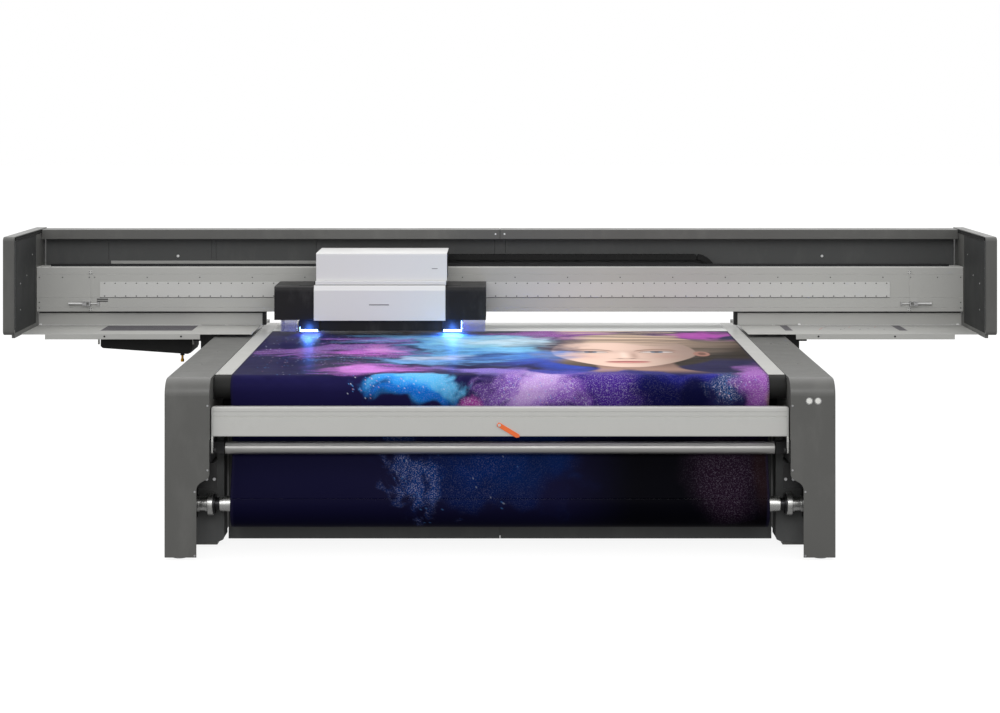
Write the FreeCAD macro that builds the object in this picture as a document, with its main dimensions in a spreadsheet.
import FreeCAD, Part
import math
import os
import Sketcher
from FreeCAD import Placement, Rotation, Vector

# Wide-format flatbed UV printer with a moving print beam and a roll-to-roll web.
# Row frame: +X to the operator's right, +Y to the back, +Z up, origin on the floor
# under the middle of the machine. Lengths are millimetres. Stations along Y are
# counted from the front plane of the legs and shifted by half the machine's depth.

os.makedirs("parts", exist_ok=True)
doc = FreeCAD.newDocument("FlatbedPrinter")
sheet = doc.addObject("Spreadsheet::Sheet", "Dims")


class Dim:
    """A number together with the sheet expression that gives it."""

    def __init__(self, value, text=None):
        self.v = float(value)
        self.e = text

    def _mix(self, other, sign, flip=False):
        o = other if isinstance(other, Dim) else Dim(other)
        a, b = (o, self) if flip else (self, o)
        v = {"+": a.v + b.v, "-": a.v - b.v, "*": a.v * b.v,
             "/": a.v / b.v if b.v else 0.0}[sign]
        if a.e is None and b.e is None:
            return Dim(v)
        ta = a.e if a.e is not None else repr(a.v)
        tb = b.e if b.e is not None else repr(b.v)
        return Dim(v, "(%s %s %s)" % (ta, sign, "(%s)" % tb))

    def __add__(self, o): return self._mix(o, "+")
    def __radd__(self, o): return self._mix(o, "+", True)
    def __sub__(self, o): return self._mix(o, "-")
    def __rsub__(self, o): return self._mix(o, "-", True)
    def __mul__(self, o): return self._mix(o, "*")
    def __rmul__(self, o): return self._mix(o, "*", True)
    def __truediv__(self, o): return self._mix(o, "/")
    def __neg__(self): return self._mix(-1.0, "*")


row = [0]


def cell(alias, value):
    row[0] += 1
    sheet.set("A%d" % row[0], alias)
    sheet.set("B%d" % row[0], repr(float(value)))
    sheet.setAlias("B%d" % row[0], alias)
    return Dim(value, "Dims.%s" % alias)


def num(d):
    return d.v if isinstance(d, Dim) else float(d)


def put(obj, prop, d):
    if prop.startswith("Placement") or prop.startswith("AttachmentOffset"):
        if isinstance(d, Dim) and d.e:
            obj.setExpression(prop, d.e)
        return
    setattr(obj, prop, num(d))
    if isinstance(d, Dim) and d.e:
        obj.setExpression(prop, d.e)


# driving sizes -----------------------------------------------------------------
depth = cell("machine_depth", 3150)
button_proud = cell("button_proud", 3.6)
half = (depth - button_proud) / 2
leg_out = cell("leg_outer_x", 1968)
leg_in = cell("leg_inner_x", 1704)
leg_foot_in = cell("leg_foot_inner_x", 1780)
leg_low = cell("leg_bottom_z", 17)
bed_top = cell("bed_top_z", 1061)
bend = cell("leg_bend_radius", 97)
wall = cell("sheet_wall", 4)
media = cell("media_half_width", 1600)
media_t = cell("media_thickness", 1)
gap = cell("running_gap", 0.5)
strip_out = cell("strip_outer_x", 1700)
bed_front = cell("bed_front_y", 225)
bed_back = cell("bed_back_y", 2925)
bed_thick = cell("bed_thickness", 42)
roll_big = cell("turn_roller_radius", 74.5)
tube_rad = cell("deflector_radius", 37.5)
tube_y = cell("deflector_y", 215)
tube_z = cell("deflector_z", 624)
tube_half = cell("deflector_half_length", 1637)
wind_y = cell("winder_y", 265)
wind_z = cell("winder_z", 280)
wind_rad = cell("winder_radius", 138)
bar_y0 = cell("bar_front_y", 40)
bar_y1 = cell("bar_back_y", 100)
bar_z0 = cell("bar_bottom_z", 720)
bar_z1 = cell("bar_top_z", 891)
bar_half = cell("bar_half_length", 1688)
arm_out = cell("arm_outer_x", 1697)
arm_z = cell("arm_pivot_z", 637)
arm_y = cell("arm_pivot_y", 52)
lever_x = cell("lever_pivot_x", -4)
lever_z = cell("lever_pivot_z", 788)
lever_len = cell("lever_length", 136)
lever_wide = cell("lever_width", 26)
lever_tilt = cell("lever_tilt_deg", 31)
beam_y0 = cell("beam_front_y", 2531)
beam_y1 = cell("beam_back_y", 2680)
beam_z0 = cell("beam_bottom_z", 1184)
beam_z1 = cell("beam_top_z", 1501)
beam_half = cell("beam_half_length", 3288)
cap_in = cell("cap_inner_x", 3290)
cap_out = cell("cap_outer_x", 3367)
cap_y0 = cell("cap_front_y", 1859)
cap_y1 = cell("cap_back_y", 2860)
cap_z0 = cell("cap_bottom_z", 1096)
cap_z1 = cell("cap_top_z", 1762)
cap_round = cell("cap_corner_radius", 27)
tray_y0 = cell("tray_front_y", 2050)
tray_y1 = cell("tray_back_y", 2584)
tray_z = cell("tray_top_z", 1083)
tray_in = cell("tray_inner_x", 1705)
fascia_in = cell("fascia_inner_x", 1693)
hood_x0 = cell("hood_left_x", -1270)
hood_x1 = cell("hood_right_x", -366)
flap_x0 = cell("flap_left_x", -1282)
flap_x1 = cell("flap_right_x", -376)
head_x0 = cell("head_left_x", -1556)
head_x1 = cell("head_right_x", -97)
head_y0 = cell("head_front_y", 2111)
head_y1 = cell("head_back_y", 2494)
head_z0 = cell("head_bottom_z", 1172)
head_z1 = cell("head_top_z", 1403)
head_gap_z = cell("head_bottom_clear_z", 1089)
rail_x = cell("gantry_rail_x", 1968)
chain_y0 = cell("chain_front_y", 2735)
chain_y1 = cell("chain_back_y", 2805)
chain_z1 = cell("chain_top_z", 1573)
chain_z0 = cell("chain_bottom_z", 1300)
screw_rad = cell("screw_head_radius", 6)
doc.recompute()


# builders ----------------------------------------------------------------------
TURN = {"x": Rotation(Vector(0, 1, 0), 90), "y": Rotation(Vector(1, 0, 0), -90),
        "z": Rotation()}
NODES = []


def node(obj, label):
    obj.Label = label
    NODES.append(obj)
    return obj


def locate(obj, x, y, z, turn="z"):
    y = y - half
    obj.Placement = Placement(Vector(num(x), num(y), num(z)), TURN[turn])
    put(obj, "Placement.Base.x", x)
    put(obj, "Placement.Base.y", y)
    put(obj, "Placement.Base.z", z)


def box(name, x, y, z):
    o = doc.addObject("Part::Box", name)
    put(o, "Length", x[1] - x[0])
    put(o, "Width", y[1] - y[0])
    put(o, "Height", z[1] - z[0])
    locate(o, x[0], y[0], z[0])
    return o


def cyl(name, turn, at, radius, length):
    o = doc.addObject("Part::Cylinder", name)
    put(o, "Radius", radius)
    put(o, "Height", length)
    locate(o, at[0], at[1], at[2], turn)
    return o


def group(name, items):
    o = doc.addObject("Part::Compound", name)
    o.Links = items
    return o


def cut(name, base, tools):
    o = doc.addObject("Part::Cut", name)
    o.Base = base
    o.Tool = tools[0] if len(tools) == 1 else group(name + "_tools", tools)
    return o


def fuse(name, items):
    o = doc.addObject("Part::MultiFuse", name)
    o.Shapes = items
    return o


def round_edges(name, base, radius, pred):
    doc.recompute()
    o = doc.addObject("Part::Fillet", name)
    o.Base = base
    picks = [(i + 1, num(radius), num(radius)) for i, e in enumerate(base.Shape.Edges) if pred(e)]
    o.Edges = picks
    return o


def mirror(name, src):
    o = doc.addObject("Part::Mirroring", name)
    o.Source = src
    o.Normal = Vector(1, 0, 0)
    o.Base = Vector(0, 0, 0)
    return o


def body(name):
    b = doc.addObject("PartDesign::Body", name)
    y = -half
    b.Placement = Placement(Vector(0, num(y), 0), Rotation())
    put(b, "Placement.Base.y", y)
    return b


def origin_plane(b, role):
    return [f for f in b.Origin.OriginFeatures if f.Role == role][0]


def sketch(b, name, role, loops, offset=0):
    sk = b.newObject("Sketcher::SketchObject", name)
    sk.AttachmentSupport = (origin_plane(b, role), [""])
    sk.MapMode = "FlatFace"
    sk.AttachmentOffset = Placement(Vector(0, 0, num(offset)), Rotation())
    put(sk, "AttachmentOffset.Base.z", offset)
    for pts in loops:
        first = len(sk.Geometry)
        n = len(pts)
        xy = [Vector(num(u), num(v), 0) for u, v in pts]
        sk.addGeometry([Part.LineSegment(xy[i], xy[(i + 1) % n]) for i in range(n)], False)
        sk.addConstraint([Sketcher.Constraint("Coincident", first + i, 2, first + (i + 1) % n, 1)
                          for i in range(n)])
        for i, (u, v) in enumerate(pts):
            for kind, d, line in (("DistanceX", u, -2), ("DistanceY", v, -1)):
                w = num(d)
                if abs(w) < 1e-7:
                    sk.addConstraint(Sketcher.Constraint("PointOnObject", first + i, 1, line))
                    continue
                if w > 0:
                    c = sk.addConstraint(Sketcher.Constraint(kind, -1, 1, first + i, 1, w))
                else:
                    c = sk.addConstraint(Sketcher.Constraint(kind, first + i, 1, -1, 1, -w))
                if isinstance(d, Dim) and d.e:
                    sk.setExpression("Constraints[%d]" % c, (d if w > 0 else -d).e)
    return sk


def pad(b, name, sk, length, back=False):
    p = b.newObject("PartDesign::Pad", name)
    p.Profile = sk
    put(p, "Length", length)
    p.Reversed = back
    b.Tip = p
    return p


def pocket(b, name, sk, length, back=False):
    p = b.newObject("PartDesign::Pocket", name)
    p.Profile = sk
    put(p, "Length", length)
    p.Reversed = back
    b.Tip = p
    return p


def dress(b, name, kind, size, pred):
    doc.recompute()
    tip = b.Tip
    names = ["Edge%d" % (i + 1) for i, e in enumerate(tip.Shape.Edges) if pred(e)]
    if not names:
        raise SystemExit("no edges for " + name)
    f = b.newObject("PartDesign::" + kind, name)
    f.Base = (tip, names)
    put(f, "Radius" if kind == "Fillet" else "Size", size)
    b.Tip = f
    return f


def along(e, axis):
    if len(e.Vertexes) != 2 or e.Curve.TypeId != "Part::GeomLine":
        return False
    d = e.Vertexes[1].Point - e.Vertexes[0].Point
    return abs(abs(getattr(d, axis)) - d.Length) < 1e-6


def near(e, **want):
    c = e.CenterOfMass
    return all(abs(getattr(c, k) - num(w)) < 0.6 for k, w in want.items())


def spun(name, profile, x0, y, z):
    """Solid of revolution about a line along X; profile is (station, radius) pairs."""
    b = doc.addObject("PartDesign::Body", name)
    yy = y - half
    b.Placement = Placement(Vector(num(x0), num(yy), num(z)), Rotation())
    put(b, "Placement.Base.x", x0)
    put(b, "Placement.Base.y", yy)
    put(b, "Placement.Base.z", z)
    sk = sketch(b, name + "_profile", "XY_Plane", [profile])
    r = b.newObject("PartDesign::Revolution", name + "_turn")
    r.Profile = sk
    r.ReferenceAxis = (sk, ["H_Axis"])
    r.Angle = 360
    b.Tip = r
    return b


def steps(pairs):
    """Stepped profile from (x0, x1, radius) runs that follow one another."""
    pts = [(pairs[0][0], 0.0)]
    for a, c, r in pairs:
        pts += [(a, r), (c, r)]
    pts.append((pairs[-1][1], 0.0))
    return [q for k, q in enumerate(pts)
            if k == 0 or abs(num(q[0]) - num(pts[k - 1][0])) + abs(num(q[1]) - num(pts[k - 1][1])) > 1e-6]


# base: side casings ----------------------------------------------------------
b = body("LegRight")
sk = sketch(b, "leg_side", "YZ_Plane",
            [[(0, leg_low), (depth, leg_low), (depth, bed_top), (0, bed_top)]], leg_in)
pad(b, "leg_pad", sk, leg_out - leg_in)
dress(b, "leg_bend", "Fillet", bend, lambda e: along(e, "x") and near(e, y=0, z=bed_top))
dress(b, "leg_corner", "Fillet", 9.0,
      lambda e: near(e, x=leg_out, y=0) or (near(e, x=leg_out, z=bed_top)))
# front sheet: lower inner edge steps outward through a slanted shoulder
sk = sketch(b, "leg_shoulder", "XZ_Plane",
            [[(leg_in - 5, 10), (leg_foot_in, 10), (leg_foot_in, 418), (leg_foot_in - 6, 436),
              (leg_foot_in - 20, 452), (leg_in + 18, 474), (leg_in + 5, 486), (leg_in, 502),
              (leg_in - 5, 502)]], 1)
pocket(b, "leg_shoulder_cut", sk, 300)
doc.recompute()
# bay behind the front sheet for the winder chuck
sk = sketch(b, "leg_bay", "XZ_Plane",
            [[(leg_in - 5, 10), (1836, 10), (1836, 705), (leg_in - 5, 705)]], -wall)
pocket(b, "leg_bay_cut", sk, 340)
sk = sketch(b, "leg_hollow", "XY_Plane",
            [[(1841, 32), (leg_out - wall, 32), (leg_out - wall, depth - wall),
              (leg_in + wall, depth - wall), (leg_in + wall, 349), (1841, 349)]], 10)
pocket(b, "leg_hollow_cut", sk, bed_top - wall - 10 - bend * 0.3, True)
sk = sketch(b, "leg_head", "XY_Plane",
            [[(leg_in + wall, 32), (1842, 32), (1842, 350), (leg_in + wall, 350)]], 709)
pocket(b, "leg_head_cut", sk, 311, True)
# seam across the top sheet
sk = sketch(b, "leg_seam", "YZ_Plane", [[(361, bed_top - 1.5), (363.5, bed_top - 1.5),
                                        (363.5, bed_top + 2), (361, bed_top + 2)]], leg_in - 2)
pocket(b, "leg_seam_cut", sk, 280, True)
leg = b
button_x = (cell("button_left_x", 1813), cell("button_right_x", 1864))
button_z = cell("button_z", 935)
button_rad = cell("button_radius", 16)
node(cut("LegRightBored", leg, [cyl("button_hole%d" % i, "y", (x, -5, button_z), button_rad + 0.6, 33)
                                for i, x in enumerate(button_x)]), "leg_casing_right")
node(mirror("LegLeft", leg), "leg_casing_left")


# base: frame, feet, inner covers ------------------------------------------------
tubes = []
for side in (-1, 1):
    for y0 in (60, 1535, 3010):
        a, c = (1850, 1930) if side > 0 else (-1930, -1850)
        tubes.append(box("post", (a, c), (y0, y0 + 80), (60, 940)))
    a, c = (1850, 1930) if side > 0 else (-1930, -1850)
    tubes.append(box("side_rail_low", (a, c), (140, 1535), (60, 140)))
    tubes.append(box("side_rail_low", (a, c), (1615, 3010), (60, 140)))
    tubes.append(box("side_rail_top", (a, c), (60, 3090), (940, 1020)))
for y0 in (620, 1535, 2450):
    tubes.append(box("cross_beam", (-1703.9, 1703.9), (y0, y0 + 100), (780, 900)))
node(group("BaseFrame", tubes), "base_frame")

b = body("FootMaster")
feet = []
for sx in (-1, 1):
    for yy in (95, 1575, 3050):
        feet.append((sx * 1890, yy))


def foot(i, x, y):
    f = spun("Foot%d" % i, steps([(0, 10, 42), (10, 16, 30), (16, 59.5, 12)]), 0, y, 0)
    f.Placement = Placement(Vector(x, num(y - half), 0), Rotation(Vector(0, 1, 0), -90))
    put(f, "Placement.Base.y", y - half)
    return f


doc.removeObject(b.Name)
node(group("Feet", [foot(i, x, y) for i, (x, y) in enumerate(feet)]), "levelling_feet")

# dark cover behind each winder chuck, with a lower corner cut at a slant
b = body("InnerRight")
sk = sketch(b, "inner_face", "XZ_Plane",
            [[(1662, 62), (1668, 48), (1690, 38), (1835, 24), (1835, 700), (1702, 700),
              (1702, 760), (1662, 760)]], -340.5)
pad(b, "inner_pad", sk, 3, True)
sk = sketch(b, "inner_side", "XZ_Plane", [[(1662, 62), (1665, 62), (1665, 760), (1662, 760)]], -342)
pad(b, "inner_return", sk, 146, True)
ir = b
il = mirror("InnerLeft", b)
node(group("InnerCovers", [ir, il]), "leg_inner_covers")

kl = box("KickLeft", (-1656, -1.5), (490, 494), (22, 760))
kr = box("KickRight", (1.5, 1656), (490, 494), (22, 760))
kc = box("KickBack", (-60, 60), (494.5, 500), (40, 740))
node(group("LowerPanels", [kl, kr, kc, box("RearLeft", (-1690, -1.5), (2650, 2654), (22, 760)),
                          box("RearRight", (1.5, 1690), (2650, 2654), (22, 760))]), "kick_panels")

# bed --------------------------------------------------------------------------
bed = box("BedPlate", (-media + 0.2, media - 0.2), (bed_front + 78, bed_back - 78),
          (bed_top - bed_thick, bed_top - media_t - 0.1))
node(bed, "bed_table")
b = body("StripRight")
nose = [(0, 4.5), (20, 6), (37, 13.5), (55, 28), (72, 42)]
sk = sketch(b, "strip_side", "YZ_Plane",
            [[(bed_front + u, bed_top - v) for u, v in nose] +
             [(bed_back - u, bed_top - v) for u, v in reversed(nose)] +
             [(bed_back, bed_top), (bed_front, bed_top)]], media)
pad(b, "strip_pad", sk, strip_out - media)
sk = sketch(b, "strip_seam", "XY_Plane",
            [[(media - 3, 419), (strip_out + 3, 419), (strip_out + 3, 422), (media - 3, 422)]], bed_top - 2)
pocket(b, "strip_seam_cut", sk, 10, True)
sk = sketch(b, "strip_notch", "XY_Plane",
            [[(media - 3, 419), (media + 10, 419), (media + 10, 431), (media - 3, 431)]], bed_top - 6)
pocket(b, "strip_notch_cut", sk, 12, True)
node(group("BedStrips", [b, mirror("StripLeft", b)]), "bed_strips")
cells = [box("chamber", (x0, x0 + 760), (y0, y0 + 850), (950, bed_top - bed_thick - 0.3))
         for x0 in (-1570, -785, 25, 810) for y0 in (640, 1640)]
node(group("VacuumChambers", cells), "vacuum_chambers")
node(fuse("Blower", [cyl("blower_drum", "x", (-260, 1900, 560), 150, 200),
                     box("blower_foot", (-230, -90), (1780, 2020), (380, 470)),
                     cyl("blower_motor", "x", (-60.5, 1900, 560), 90, 220),
                     cyl("blower_neck", "z", (-160, 1900, 690), 60, 259.5)]), "vacuum_blower")

# rollers ---------------------------------------------------------------------
roll_z = bed_top - media_t - gap - roll_big
rear_y = bed_back
node(spun("FrontRoller", steps([(-1703.5, -1698, 12), (-1698, -1599.5, 70), (-1599.5, 1599.5, roll_big),
                              (1599.5, 1698, 70), (1698, 1703.5, 12)]),
          0, bed_front, roll_z), "front_roller")
node(spun("RearRoller", steps([(-1703.5, -1698, 12), (-1698, -1599.5, 70), (-1599.5, 1599.5, roll_big),
                              (1599.5, 1698, 70), (1698, 1703.5, 12)]),
          0, rear_y, roll_z), "rear_roller")
node(spun("Deflector", [(-1655, 0), (-1655, 12), (-tube_half, 12), (-tube_half, tube_rad - 2),
                        (-tube_half + 2, tube_rad), (tube_half - 2, tube_rad),
                        (tube_half, tube_rad - 2), (tube_half, 12), (1655, 12), (1655, 0)],
          0, tube_y, tube_z), "deflector_tube")


def bearing(name, x0, x1, y, z, hole, wide, zlow=None):
    blk = box(name + "_block", (x0, x1), (y - wide, y + wide), (z - wide if zlow is None else zlow, z + wide))
    return cut(name, blk, [cyl(name + "_bore", "x", (x0 - 5, y, z), hole, (x1 - x0) + 10)])


brackets = []
for i, (a, c) in enumerate(((-1703.8, -1700.3), (1700.3, 1703.8))):
    brackets.append(bearing("FrontBearing%d" % i, a, c, bed_front, roll_z, 12.08, 62))
    brackets.append(bearing("RearBearing%d" % i, a, c, rear_y, roll_z, 12.08, 62))

# web: one sheet wrapped over the rollers ----------------------------------------
def tangent(c1, r1, s1, c2, r2, s2):
    """Tangent points between two circles; s is +1 where the web keeps the circle on its right."""
    dx, dy = c2[0] - c1[0], c2[1] - c1[1]
    dist = math.hypot(dx, dy)
    a = math.atan2(dy, dx)
    k = (s1 * r1 - s2 * r2) / dist
    t = a - math.asin(k)
    # left normal of the travel direction
    n = (-math.sin(t), math.cos(t))
    return ((c1[0] + n[0] * s1 * r1, c1[1] + n[1] * s1 * r1),
            (c2[0] + n[0] * s2 * r2, c2[1] + n[1] * s2 * r2))


def web_line(circles, lift):
    """Entry point, exit point, centre, radius and side of the web at each circle."""
    rr = [(c, r - sd * lift, sd) for c, r, sd in circles]
    lines = [tangent(*(rr[k] + rr[k + 1])) for k in range(len(rr) - 1)]
    out = []
    for k, (c, r, sd) in enumerate(rr):
        p_in = lines[k - 1][1] if k else lines[0][0]
        p_out = lines[k][0] if k < len(rr) - 1 else lines[-1][1]
        out.append((p_in, p_out, c, r, sd))
    return out


def web_edges(segs):
    out = []
    for i, (a, bb, c, r, s) in enumerate(segs):
        a0 = math.atan2(a[1] - c[1], a[0] - c[0])
        a1 = math.atan2(bb[1] - c[1], bb[0] - c[0])
        if s > 0:
            while a1 > a0:
                a1 -= 2 * math.pi
        else:
            while a1 < a0:
                a1 += 2 * math.pi
        m = (a0 + a1) / 2
        mid = (c[0] + r * math.cos(m), c[1] + r * math.sin(m))
        P = [Vector(0, p[0], p[1]) for p in (a, mid, bb)]
        if (P[2] - P[0]).Length > 0.05:
            out.append(Part.Arc(P[0], P[1], P[2]).toShape())
        if i < len(segs) - 1:
            q = segs[i + 1][0]
            out.append(Part.LineSegment(P[2], Vector(0, q[0], q[1])).toShape())
    return out


def web(name, circles, half_wide):
    inner = web_line(circles, 0.0)
    outer = web_line(circles, num(media_t))
    e1, e2 = web_edges(inner), web_edges(outer)
    p0, q0, p1, q1 = inner[0][0], outer[0][0], inner[-1][1], outer[-1][1]
    edges = e1 + e2 + [Part.LineSegment(Vector(0, *p1), Vector(0, *q1)).toShape(),
                       Part.LineSegment(Vector(0, *q0), Vector(0, *p0)).toShape()]
    face = Part.Face(Part.Wire(Part.__sortEdges__(edges)))
    f = doc.addObject("Part::Feature", name)
    f.Shape = face.extrude(Vector(2 * num(half_wide), 0, 0))
    f.Placement = Placement(Vector(-num(half_wide), -num(half), 0), Rotation())
    return f


feed_y = cell("supply_y", 2885)
feed_z = cell("supply_z", 300)
feed_rad = cell("supply_radius", 150)
R = num(roll_big) + num(gap)
circles = [((num(feed_y), num(feed_z)), num(feed_rad) + num(gap), -1),
           ((num(rear_y), num(roll_z)), R, -1),
           ((num(bed_front), num(roll_z)), R, -1),
           ((num(tube_y), num(tube_z)), num(tube_rad) + num(gap) + num(media_t), 1),
           ((num(wind_y), num(wind_z)), num(wind_rad) + num(gap), -1)]
node(web("MediaWeb", circles, media), "media_web")


def pair(name, make):
    right = make()
    return group(name, [right, mirror(name + "_left", right)])


# winder -----------------------------------------------------------------------
def tube_roll(name, rad, y, z, wide):
    return spun(name, [(-wide, 45.2), (wide, 45.2), (wide, rad), (-wide, rad)], 0, y, z)


node(tube_roll("WinderRoll", wind_rad, wind_y, wind_z, media), "media_roll")
adaptors = (pair("CoreAdaptors", lambda: spun("adaptor", steps([(1540, 1599, 45), (1599, 1660, 45), (1660, 1675, 43)]),
                                       0, wind_y, wind_z)))
node(pair("WinderJournals", lambda: spun("journal", steps([(1675, 1703, 36), (1703, 1714, 60)]),
                                         0, wind_y, wind_z)), "winder_journals")
flanges = (pair("ChuckFlanges", lambda: spun("flange", [(1714, 0), (1714, 64), (1717, 67.5), (1745, 67.5),
                                                  (1748, 65), (1748, 46.5), (1764, 46.5), (1764, 42),
                                                  (1799, 42), (1799, 48), (1815, 48), (1815, 0)],
                                       0, wind_y, wind_z)))
node(group("WinderChucks", [adaptors, flanges]), "winder_chucks")


def chuck_bracket():
    return fuse("chuck_bracket", [box("cb_plate", (1819, 1835.9), (120, 340), (190, 560)),
                                  box("cb_web", (1682, 1819), (150, 158), (395, 545)),
                                  cyl("cb_stub", "x", (1815.5, wind_y, wind_z), 30, 4),
                                  box("cb_ear", (1704.5, 1819), (158, 340), (535, 545))])


node(pair("ChuckBrackets", chuck_bracket), "chuck_brackets")

# supply roll at the back ----------------------------------------------------------
node(tube_roll("SupplyRoll", feed_rad, feed_y, feed_z, media), "supply_roll")
node(pair("SupplyChucks", lambda: spun("supply_chuck", steps([(1540, 1660, 45), (1660, 1690, 60), (1690, 1700, 30)]),
                                       0, feed_y, feed_z)), "supply_chucks")
brackets.append(pair("SupplyBrackets", lambda: box("supply_bracket", (1700.5, 1703.9), (feed_y - 90, feed_y + 90),
                                                  (feed_z - 90, feed_z + 160))))
node(group("RollerEndPlates", brackets), "roller_end_plates")


# front bar, arms and pivots ---------------------------------------------------------
b = body("FrontBar")
f0, f1, g0, g1 = bar_y0, bar_y1, bar_z0, bar_z1
sk = sketch(b, "bar_section", "YZ_Plane",
            [[(f0, g0 + 4), (f0 + 3, g0), (f1, g0), (f1, g1), (f0 + 4, g1), (f0 + 0.5, g1 - 4),
              (f0 + 0.5, g1 - 24), (f0 + 3, g1 - 27), (f0 + 3, g1 - 50), (f0 + 6, g1 - 53),
              (f0 + 6, g1 - 57), (f0, g1 - 59)],
             [(f0 + 14, g0 + 8), (f1 - 8, g0 + 8), (f1 - 8, g1 - 8), (f0 + 14, g1 - 8)]], -bar_half)
pad(b, "bar_pad", sk, 2 * bar_half)
node(b, "front_bar")


def arm():
    a = body("Arm")
    sk = sketch(a, "arm_side", "YZ_Plane",
                [[(f0, g1 - 2), (f1, g1 - 2), (f1, g0), (arm_y + 20, g0 - 30), (arm_y + 16, arm_z - 12),
                  (arm_y, arm_z - 20), (arm_y - 16, arm_z - 12), (arm_y - 18, g0 - 30), (f0, g0)]], arm_out - 8)
    pad(a, "arm_pad", sk, 8)
    return cut("ArmBored", a, [cyl("arm_bore", "x", (arm_out - 10, arm_y, arm_z), 8.05, 12)])


bar_arms = pair("BarArms", arm)


def pivot_plate():
    plate = box("pv_plate", (1698.5, 1703.5), (24, 300), (570, 700))
    return fuse("pivot_side", [plate,
                               cyl("pv_pin", "x", (1684, arm_y, arm_z), 8, 15),
                               cyl("pv_knob", "x", (1672, arm_y, arm_z), 15, 15),
                               cut("pv_block", box("pv_box", (1641, 1698.5), (tube_y - 28, tube_y + 28),
                                                   (tube_z - 30, tube_z + 40)),
                                   [cyl("pv_bore", "x", (1630, tube_y, tube_z), 12.08, 40)])])


node(pair("PivotBrackets", pivot_plate), "pivot_brackets")

b = doc.addObject("PartDesign::Body", "Lever")
yy = bar_y0 - 1.2 - half
b.Placement = Placement(Vector(num(lever_x), num(yy), num(lever_z)), Rotation(Vector(0, 1, 0), num(lever_tilt)))
put(b, "Placement.Base.x", lever_x)
put(b, "Placement.Base.y", yy)
put(b, "Placement.Base.z", lever_z)
w = lever_wide / 2
sk = sketch(b, "lever_face", "XZ_Plane", [[(-w, -w), (lever_len - 14, -w), (lever_len, -w * 0.2),
                                          (lever_len, w * 0.6), (lever_len - 8, w), (-w, w)]])
pad(b, "lever_pad", sk, 7)
dress(b, "lever_round", "Fillet", 9, lambda e: along(e, "y") and near(e, x=-w))
dress(b, "lever_soft", "Fillet", 1.5, lambda e: abs(e.CenterOfMass.y + 7) < 0.2)
node(cut("LeverBored", b, [cyl("lever_bore", "y", (lever_x, bar_y0 - 12, lever_z), 5.05, 14)]), "clamp_lever")
node(group("BarFittings", [bar_arms, fuse("LeverPivot", [
    cyl("lever_pin", "y", (lever_x, bar_y0 - 10, lever_z), 5, 10),
    cyl("lever_head", "y", (lever_x, bar_y0 - 11.5, lever_z), 9, 3)])]), "bar_arms")

# buttons ------------------------------------------------------------------------
for tag, x in zip(("left", "right"), button_x):
    node(spun("Button_" + tag, [(0, 0)] * 0 + [(0, 0), (0, button_rad - 1.5), (1.5, button_rad), (22, button_rad), (22, 0)],
              0, 0, 0), "button_" + tag)
    o = NODES[-1]
    o.Placement = Placement(Vector(num(x), -3.6 - num(half), num(button_z)), Rotation(Vector(0, 0, 1), 90))
    put(o, "Placement.Base.x", x)
    put(o, "Placement.Base.y", -3.6 - half)
    put(o, "Placement.Base.z", button_z)
node(group("Bezels", [cut("bezel%d" % i, cyl("bezel_disc%d" % i, "y", (x, -2.2, button_z), button_rad + 5, 2.2),
                          [cyl("bezel_hole%d" % i, "y", (x, -5, button_z), button_rad + 0.6, 10)])
                      for i, x in enumerate(button_x)]), "button_bezels")
screws = []
for sx in (-1, 1):
    for x, z in ((1715, 907), (1715, 529), (1790, 402), (1790, 28)):
        screws.append(cyl("screw", "y", (sx * x, -2, z), screw_rad, 2))
    for x in (1740, 1695):
        screws.append(cyl("screw", "y", (sx * x, 144, 449), 9, 6))
node(group("Screws", screws), "casing_screws")
for side, tag in ((1, "right"), (-1, "left")):
    pass
node(pair("GantryRails", lambda: box("gantry_rail", (rail_x, rail_x + 23), (300, 3100), (985, 1015))), "gantry_rails")

# gantry -----------------------------------------------------------------------
b = body("Beam")
p, q, u, v = beam_y0, beam_y1, beam_z0, beam_z1
front = [(p, u + 3), (p + 3, u), (q, u), (q, v), (p + 4, v), (p, v - 4)]
for zc in (1449, 1283, 1213):
    front += [(p, zc + 1.2), (p + 1.5, zc), (p, zc - 1.2)]
sk = sketch(b, "beam_section", "YZ_Plane",
            [front, [(p + 10, u + 10), (q - 10, u + 10), (q - 10, v - 10), (p + 10, v - 10)]], -beam_half)
pad(b, "beam_pad", sk, 2 * beam_half)
sk = sketch(b, "beam_joints", "XZ_Plane",
            [[(sx * 2905 - 1, u - 5), (sx * 2905 + 1, u - 5), (sx * 2905 + 1, v + 5), (sx * 2905 - 1, v + 5)]
             for sx in (-1, 1)], -(p - 1))
pocket(b, "beam_joint_cut", sk, 2.2)
node(b, "beam")
node(group("GuideRails", [box("guide_top", (-3200, 3200), (2590, 2625), (v, v + 16)),
                          box("guide_back", (-3200, 3200), (q, q + 16), (1430, 1465))]), "guide_rails")
node(box("MotorTrack", (-2839, 2768), (p - 2, p), (1286.5, 1395)), "motor_track")

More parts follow.
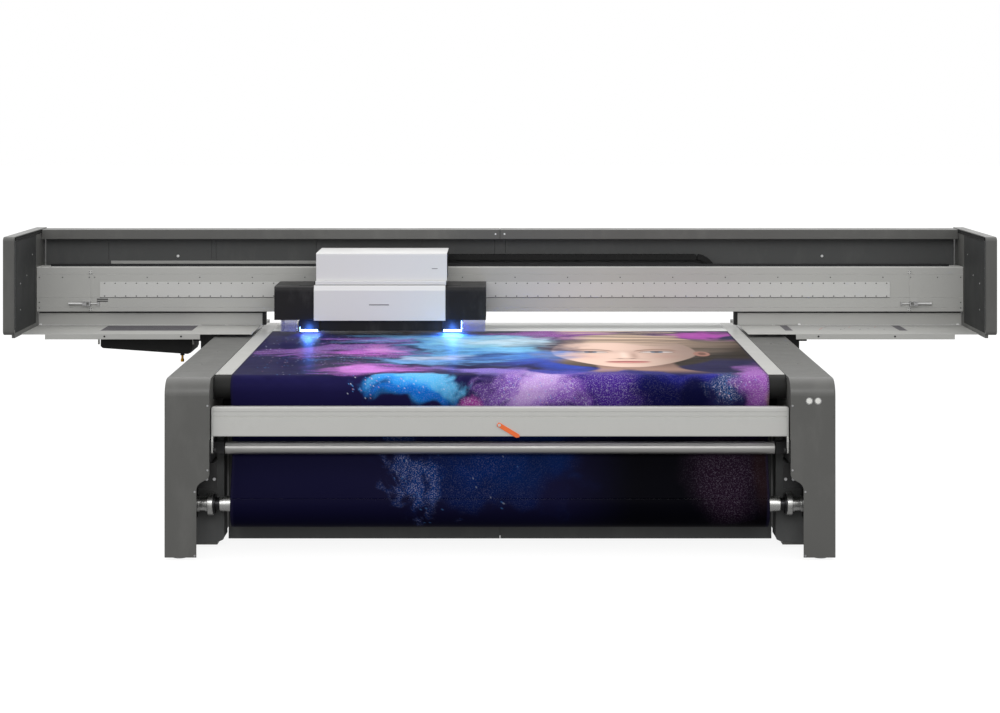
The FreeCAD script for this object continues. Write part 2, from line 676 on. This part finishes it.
b = body("CapRight")
sk = sketch(b, "cap_side", "YZ_Plane", [[(cap_y0, cap_z0), (cap_y1, cap_z0), (cap_y1, cap_z1), (cap_y0, cap_z1)]], cap_in)
pad(b, "cap_pad", sk, cap_out - cap_in)
sk = sketch(b, "cap_skirt", "YZ_Plane",
            [[(cap_y0 + 20, cap_z0 - 21), (cap_y1 - 10, cap_z0 - 21), (cap_y1 - 10, cap_z0 + 30), (cap_y0 + 20, cap_z0 + 30)]],
            cap_in)
pad(b, "cap_skirt_pad", sk, 20)
dress(b, "cap_round", "Fillet", cap_round,
      lambda e: along(e, "x") and (near(e, y=cap_y0, z=cap_z0) or near(e, y=cap_y0, z=cap_z1)))
dress(b, "cap_soft", "Fillet", 7, lambda e: near(e, x=cap_out, y=cap_y0))
cr = b
node(group("EndCaps", [cr, mirror("CapLeft", cr)]), "end_caps")

rails = []
for tag, x0 in (("Left", -(cap_in - 2)), ("Right", Dim(1.5))):
    b = body("TopRail" + tag)
    y0, y1, z0, z1 = 2690, cap_y1, 1688, 1756
    sk = sketch(b, "rail_section", "YZ_Plane",
                [[(y0, z0), (y0, z1 - 3), (y0 + 3, z1), (y1, z1), (y1, z1 - 4), (y0 + 4, z1 - 4),
                  (y0 + 4, z0 + 4), (y0 + 25, z0 + 4), (y0 + 25, z0)]], x0)
    pad(b, "rail_pad", sk, cap_in - 3.5)
    rails.append(b)
node(group("TopRails", rails), "top_rails")

edges_x = [-3286, -2832, -2087, -2055, -1328, -573, -39, 39, 3286]
panels = []
for a, c in zip(edges_x[:-1], edges_x[1:]):
    panels.append(box("back_panel", (a + (1 if a > -3280 else 0), c - (1 if c < 3280 else 0)),
                      (2822, 2826), (1190, 1751)))
panels += [box("seam_backing", (x - 14, x + 14), (2826.05, 2828), (1190, 1751))
           for x in (-2832, -1328, -573)]
panels.append(box("left_backing", (-2100, -2042), (2826.05, 2828), (1190, 1751)))
panels.append(box("centre_backing", (-55, 55), (2826.05, 2828), (1190, 1751)))
node(group("BackPanels", panels), "back_panels")
shelf = [box("chain_tray", (-3200, 3200), (2712, 2815), (1290, 1297)),
                          box("ledge", (-2815, -1320), (2816, 2821.5), (1497, 1522))]
node(group("CableShelf", shelf + [box("strut", (x - 5, x + 5), (q + 0.1, 2821.8), (1190, 1289.8))
                          for x in (-3150, -2100, -1050, 0, 1050, 2100, 3150)]), "cable_shelf")


def tray(name, x0, x1, lip0, lip1, win):
    b = body(name)
    sk = sketch(b, name + "_top", "XY_Plane",
                [[(x0, tray_y0), (x1, tray_y0), (x1, tray_y1), (x0, tray_y1)]], tray_z - 4)
    pad(b, name + "_pad", sk, 4)
    sk = sketch(b, name + "_lip", "XY_Plane",
                [[(lip0, tray_y0), (lip1, tray_y0), (lip1, tray_y0 + 3), (lip0, tray_y0 + 3)]], tray_z - 37)
    pad(b, name + "_lip_pad", sk, 34)
    sk = sketch(b, name + "_window", "XY_Plane",
                [[(win[0], 2247), (win[1], 2247), (win[1], 2561), (win[0], 2561)]], tray_z - 8)
    pocket(b, name + "_window_cut", sk, 12, True)
    return b


node(group("SideTrays", [tray("TrayLeft", -(cap_in - 4), -tray_in, -3123, -2059, (-2784, -2144)),
                         tray("TrayRight", tray_in, cap_in - 4, 2032, 3122, (1985, 2840))]), "side_trays")
slats = [box("slat", (-2783.5, -2144.5), (2247.5 + 12 * k, 2247.5 + 12 * k + 9), (tray_z - 4, tray_z - 1)) for k in range(26)]
slats += [box("slat_bearer", (x, x + 12), (2247.5, 2560.5), (tray_z - 10, tray_z - 4)) for x in (-2783.5, -2470, -2156.5)]
node(fuse("PurgeGrate", slats), "purge_grate")
node(group("TestPlate", [box("test_left", (1985.5, 2040), (2247.5, 2560.5), (tray_z - 4, tray_z - 0.5)),
                         box("test_mid", (2040.5, 2780), (2247.5, 2560.5), (tray_z - 4, tray_z - 1)),
                         box("test_right", (2780.5, 2839.5), (2247.5, 2560.5), (tray_z - 4, tray_z - 0.5))]),
     "test_plate")
node(pair("Fascias", lambda: group("fascia", [box("fascia_face", (fascia_in, cap_in - 4), (2586, 2590), (1083.5, 1169)),
                                              box("fascia_top", (fascia_in, cap_in - 4), (2590, 2591.8), (1150, 1169))])),
     "fascias")
ends = pair("FasciaEnds", lambda: box("fascia_end", (1667, 1692.8), (2586, 2640), (1084, 1183.9)))

b = body("Trough")
sk = sketch(b, "trough_front", "XZ_Plane", [[(-2778, 975), (-2762, 962), (-2172, 921), (-2150, 930), (-2142, 950),
                                            (-2142, 1046), (-2778, 1046)]], -2240)
pad(b, "trough_pad", sk, 330, True)
sk = sketch(b, "trough_inside", "XZ_Plane", [[(-2773, 978), (-2760, 968), (-2172, 927), (-2155, 934), (-2147, 952),
                                             (-2147, 1060), (-2773, 1060)]], -2245)
pocket(b, "trough_well", sk, 320)
trough = b
node(group("TroughBrackets", [box("tb", (x, x + 13), (y0, y0 + 3), (988, tray_z - 4.1))
                              for x in (-2797, -2141.8) for y0 in (2243, 2560)]), "trough_brackets")
node(group("WasteTrough", [trough, cyl("DrainValve", "z", (-2218, 2300, 906), 15, 17.5)]), "waste_trough")
node(fuse("DrainPlug", [cyl("plug_neck", "z", (-2218, 2300, 880), 8, 25.8), cyl("plug_body", "z", (-2218, 2300, 861), 12, 20)]),
     "drain_plug")
trucks = (pair("Trucks", lambda: fuse("truck", [box("truck_top", (1972, 2128), (2200, 2680), (1016.5, 1078.5)),
                                           box("truck_side", (1994, 2080), (2230, 2680), (960, 1016.5)),
                                           box("truck_riser", (2000, 2128), (2592, 2680), (1078.5, beam_z0 - 0.1))])))
node(group("GantryTrucks", [trucks, ends]), "gantry_trucks")


def latch(base):
    if base:
        return group("latch_base", [box("claw_low", (2905, 2960), (2502, beam_y0), (1226, 1231)),
                                    box("claw_top", (2905, 2960), (2502, beam_y0), (1253, 1258)),
                                    cyl("latch_pin", "z", (2940, 2514, 1231), 3, 22),
                                    cyl("latch_rod", "x", (2852, 2518, 1242), 4, 53),
                                    box("latch_hook", (2842, 2852), (2508, beam_y0), (1230, 1254)),
                                    box("latch_collar", (2905, 2912), (2506, beam_y0), (1231, 1253))])
    h = fuse("latch_grip", [box("grip_root", (2931, 2965), (2506, 2522), (1233, 1251)),
                            cyl("grip_bar", "x", (2960, 2514, 1242), 9, 92),
                            cyl("grip_tip", "x", (3051, 2514, 1242), 11, 7)])
    return cut("latch_handle", h, [cyl("grip_bore", "z", (2940, 2514, 1225), 3.05, 34)])


lb = latch(True)
node(group("LatchBases", [lb, mirror("LatchBaseLeft", lb)]), "latch_bases")
lh = latch(False)
node(lh, "latch_handle_right")
node(mirror("LatchHandleLeft", lh), "latch_handle_left")

# print carriage ---------------------------------------------------------------
frame_solid = (fuse("CarriageFrame", [box("cf_front", (-1400, -250), (2497, 2519), (1200, 1395)),
                            box("cf_neck", (-1228, -408), (2497, 2519), (1390, 1545)),
                            box("cf_top", (-1228, -408), (2519, 2720), (1530, 1545)),
                            box("cf_back", (-1228, -408), (2704, 2720), (1400, 1530)),
                            box("cf_arm_up", (-440, -410), (2700, 2720), (1545, 1582)),
                            box("cf_arm", (-440, -410), (2720, 2800), (1576, 1582))]))


def shoe(i, x, top):
    if top:
        return cut("shoe%d" % i, box("sh", (x, x + 120), (2572, 2643), (1504, 1529.9)),
                   [box("shc", (x - 5, x + 125), (2589.5, 2625.5), (1490, 1517.5))])
    return cut("shoe%d" % i, box("sh", (x, x + 120), (2682, 2703.9), (1410, 1485)),
               [box("shc", (x - 5, x + 125), (2670, 2696.5), (1429.5, 1465.5))])


node(group("BearingShoes", [shoe(i, x, t) for i, (x, t) in enumerate(
    ((-1226, True), (-532, True), (-1226, False), (-532, False)))]), "bearing_shoes")
node(group("CarriageAssembly", [frame_solid, box("MotorCoil", (-1300, -350), (2519.1, 2527), (1300, 1380))]),
     "carriage_frame")

head_solids = [box("hb_body", (-1255, -394), (2140, 2470), (head_gap_z + 4, 1172)),
                         cut("hb_chassis", box("hbc_shell", (flap_x0 + 2, flap_x1 - 2), (2126, head_y1), (1172.5, 1436)),
                             [box("hbc_space", (flap_x0 + 10, flap_x1 - 10), (2134, head_y1 - 8), (1180.5, 1428))])]


def side_box(name, x0, x1):
    b = body(name)
    sk = sketch(b, name + "_side", "YZ_Plane",
                [[(head_y0, head_z0), (head_y1, head_z0), (head_y1, head_z1), (head_y0 + 16, head_z1),
                  (head_y0 + 3, head_z1 - 6), (head_y0, head_z1 - 28), (head_y0 + 1.5, head_z1 - 30),
                  (head_y0, head_z1 - 32)]], x0)
    pad(b, name + "_pad", sk, x1 - x0)
    return cut(name + "Shell", b, [box(name + "_space", (x0 + 4, x1 - 4), (head_y0 + 20, head_y1 - 4),
                                       (head_z0 + 4, head_z1 - 4))])


node(group("SideBoxes", [side_box("SideBoxLeft", head_x0, flap_x0 - 1),
                         side_box("SideBoxRight", flap_x1 + 1, head_x1)]), "side_boxes")
b = body("HoodUpper")
sk = sketch(b, "hood_section", "YZ_Plane",
            [[(2146, 1440), (2146, 1627), (2600, 1627), (2600, 1631), (2150, 1631), (2142, 1624), (2142, 1440)]], hood_x0)
pad(b, "hood_pad", sk, hood_x1 - hood_x0)
node(b, "hood_upper")
core = cut("hc_core", box("hcc_shell", (hood_x0 + 6, hood_x1 - 6), (2147, 2490), (1440, 1626.5)),
           [box("hcc_space", (hood_x0 + 14, hood_x1 - 14), (2155, 2482), (1448, 1618.5))])
cheeks = [box("hood_cheek", x, y, z) for x in ((hood_x0 + 2, hood_x0 + 5), (hood_x1 - 5, hood_x1 - 2))
          for y, z in (((2147, 2490), (1440, 1626.5)), ((2490.1, 2598), (1572, 1626.5)))]
node(group("HeadChassis", head_solids + [core] + cheeks), "head_chassis")
b = body("HoodFlap")
sk = sketch(b, "flap_section", "YZ_Plane",
            [[(2095, 1169), (2095, 1376), (2108, 1409), (2111, 1411), (2113, 1409), (2099, 1375), (2099, 1169)]], flap_x0)
pad(b, "flap_pad", sk, flap_x1 - flap_x0)
node(b, "hood_flap")
node(fuse("FlapRod", [cyl("flap_rod", "x", (flap_x0 + 6, 2118, 1403), 3, flap_x1 - flap_x0 - 12)] +
          [box("flap_lug", (x, x + 14), (2116.5, 2125.8), (1399, 1407)) for x in (-1270, -836, -402)]), "flap_hinge_rod")
lamps, lenses = [], []
for x0, x1 in ((-1383, -1256), (-393, -262)):
    lamps.append(box("lamp", (x0, x1), (2136, 2400), (head_gap_z + 6, 1171.9)))
    lenses.append(box("lens", (x0 + 2, x1 - 2), (2138, 2398), (head_gap_z, head_gap_z + 5.8)))
node(group("UvLamps", lamps), "uv_lamps")
node(group("LampLenses", lenses), "lamp_lenses")
node(group("ClearGuards", [box("guard", (-1504, -1408), (2128, 2130), (1090, 1171.9)),
                           box("guard", (-258, -110), (2128, 2130), (1090, 1171.9)),
                           box("clip", (-1512, -1504.2), (2120, 2300), (1090, 1171.9)),
                           box("clip", (-109.8, -102), (2120, 2300), (1090, 1171.9)),
                           box("clip", (-1407.8, -1400), (2124, 2180), (1098, 1171.9))]), "clear_guards")

b = body("EnergyChain")
r_out = (chain_z1 - chain_z0) / 2
cx = 1418.0
arc = [(cx + math.sin(math.radians(t)) * num(r_out), num(chain_z1 - r_out) + math.cos(math.radians(t)) * num(r_out))
       for t in range(0, 181, 12)]
r_in = num(r_out) - 40
arc_in = [(cx + math.sin(math.radians(t)) * r_in, num(chain_z1 - r_out) + math.cos(math.radians(t)) * r_in)
          for t in range(180, -1, -12)]
sk = sketch(b, "chain_loop", "XZ_Plane",
            [[(-1050, chain_z1)] + arc + [(-200, chain_z0), (-200, chain_z0 + 40)] + arc_in + [(-1050, chain_z1 - 40)]], -chain_y0)
pad(b, "chain_pad", sk, chain_y1 - chain_y0, True)
node(b, "energy_chain")

# checks and export ------------------------------------------------------------
doc.recompute()
bad = [o.Name for o in doc.Objects if "Invalid" in o.State or "Error" in o.State]
if bad:
    raise SystemExit("failed objects: " + ", ".join(bad))
low = [1e9] * 3
high = [-1e9] * 3
names = set()
for o in NODES:
    shape = o.Shape
    if shape.isNull() or not shape.isValid():
        raise SystemExit("bad shape: " + o.Label)
    if o.Label in names:
        raise SystemExit("label used twice: " + o.Label)
    names.add(o.Label)
    if not shape.Solids:
        raise SystemExit("no solid: " + o.Label)
    bb = shape.optimalBoundingBox(False)
    low = [min(a, c) for a, c in zip(low, (bb.XMin, bb.YMin, bb.ZMin))]
    high = [max(a, c) for a, c in zip(high, (bb.XMax, bb.YMax, bb.ZMax))]
    shape.exportStep("parts/%s.step" % o.Label)
print("nodes", len(NODES), "low", [round(v, 1) for v in low], "high", [round(v, 1) for v in high])
for o in NODES:
    print("%-24s solids %2d volume %.0f cm3" % (o.Label, len(o.Shape.Solids), o.Shape.Volume / 1000))
